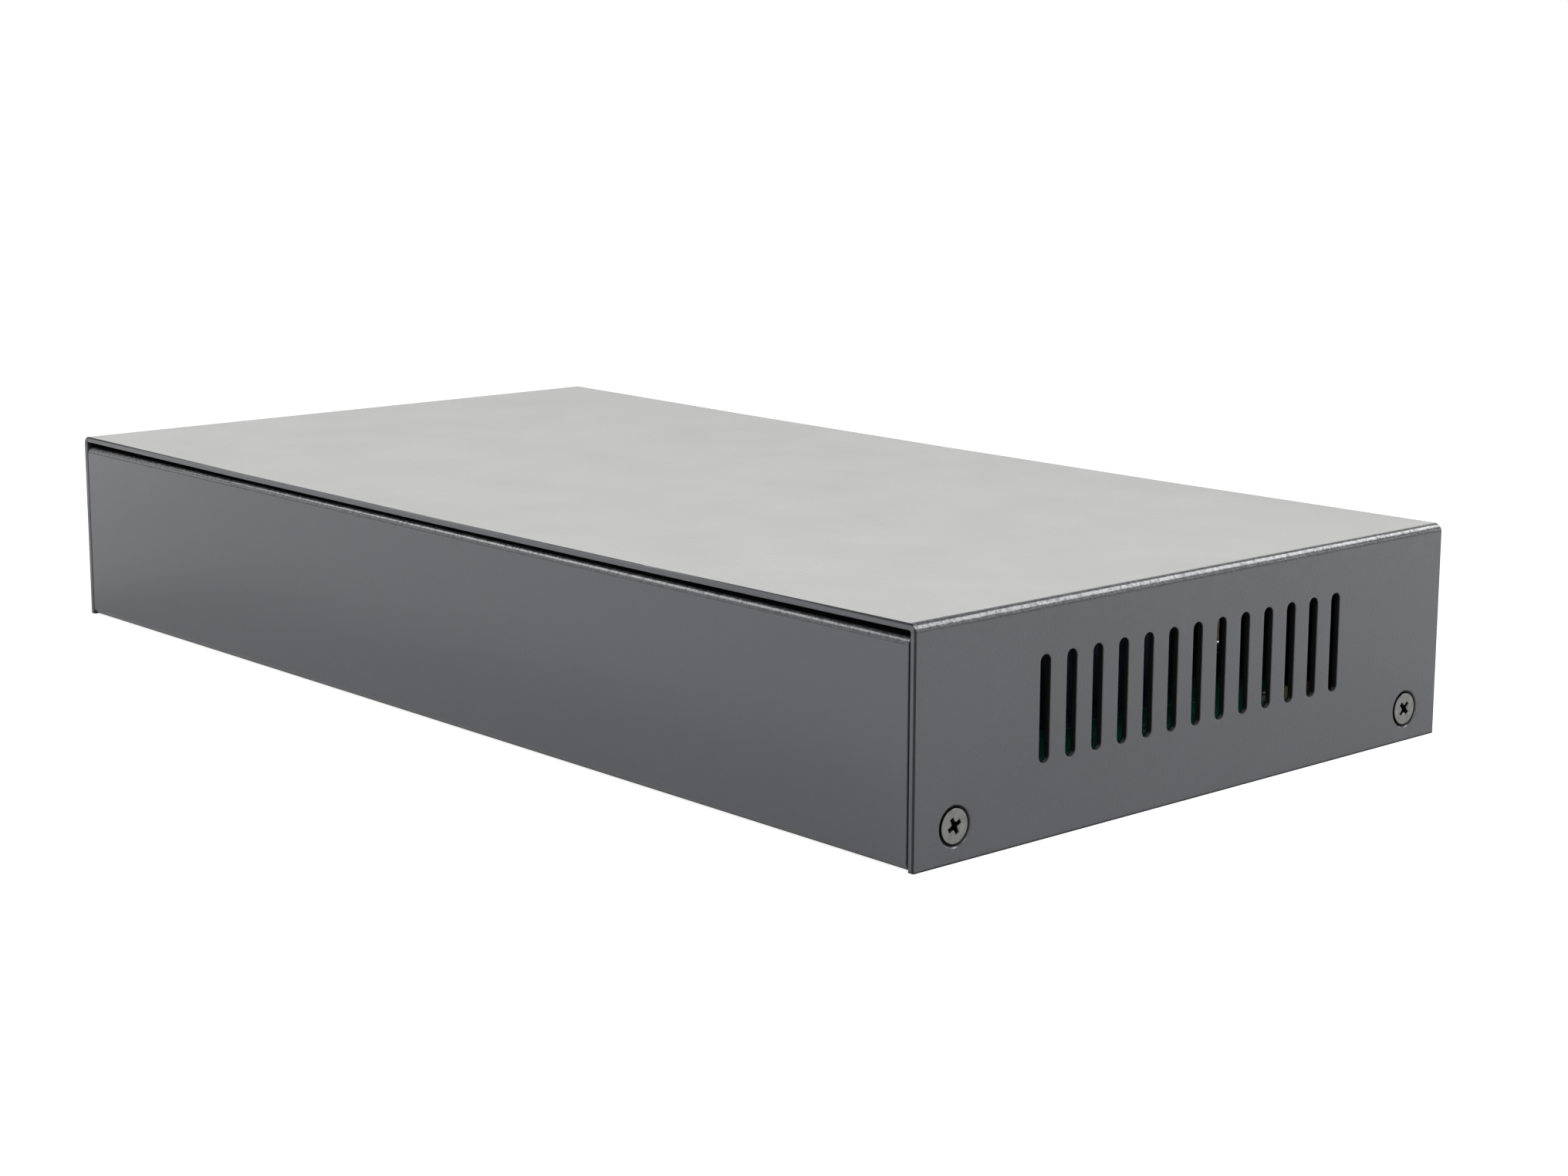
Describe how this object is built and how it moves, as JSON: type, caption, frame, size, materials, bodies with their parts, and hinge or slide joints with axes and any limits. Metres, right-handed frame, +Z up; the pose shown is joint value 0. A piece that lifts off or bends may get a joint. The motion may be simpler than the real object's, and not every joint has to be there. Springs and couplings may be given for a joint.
{
  "type": "poe switch",
  "caption": "Flat power-over-Ethernet desktop switch in a charcoal folded sheet-steel case, with slotted short sides, countersunk cover screws and network sockets along one long side.",
  "frame": {"origin": "on the plane it rests on, under the middle of the case", "axes": "+Z up, +X along the long sides, +Y out of the blank long wall, so the ports face -Y"},
  "size_m": [0.25, 0.13, 0.038],
  "materials": {
    "case_paint": "fine-textured charcoal grey powder coat, half gloss",
    "black_nickel_screw": "dark nickel plate",
    "zinc_steel": "bright zinc plate",
    "green_board": "green solder mask over glass laminate",
    "black_plastic": "moulded, satin",
    "nickel_shell": "bright nickel plate",
    "gold_contact": "gold plate",
    "led_lens": "clear, unlit",
    "lamp_lens": "tinted, unlit",
    "chip_resin": "moulded resin",
    "thermal_pad": "soft silicone",
    "black_aluminium": "black anodised",
    "capacitor_sleeve": "shrunk sleeve",
    "ferrite": "pressed ferrite",
    "ceramic": "fired ceramic"
  },
  "bodies": {
    "root": {"top_cover": "case_paint", "base_tray": "case_paint", "cover_screws": "black_nickel_screw", "board_standoffs": "zinc_steel", "board_screws": "zinc_steel", "main_board": "green_board", "uplink_jack_housing": "black_plastic", "poe_jack_1_housing": "black_plastic", "poe_jack_2_housing": "black_plastic", "uplink_jack_shield": "nickel_shell", "poe_jack_1_shield": "nickel_shell", "poe_jack_2_shield": "nickel_shell", "uplink_jack_contacts": "gold_contact", "poe_jack_1_contacts": "gold_contact", "poe_jack_2_contacts": "gold_contact", "jack_leds": "led_lens", "dc_jack_housing": "black_plastic", "dc_jack_pin": "nickel_shell", "power_lamp": "lamp_lens", "power_lamp_holder": "black_plastic", "switch_chip": "chip_resin", "thermal_pad": "thermal_pad", "heat_sink": "black_aluminium", "port_transformers": "chip_resin", "bulk_capacitors": "capacitor_sleeve", "power_inductors": "ferrite", "poe_controllers": "chip_resin", "port_mosfets": "chip_resin", "clock_crystal": "nickel_shell", "flash_memory": "chip_resin", "ceramic_capacitors": "ceramic", "service_header": "black_plastic", "service_header_pins": "gold_contact"}
  },
  "joints": []
}
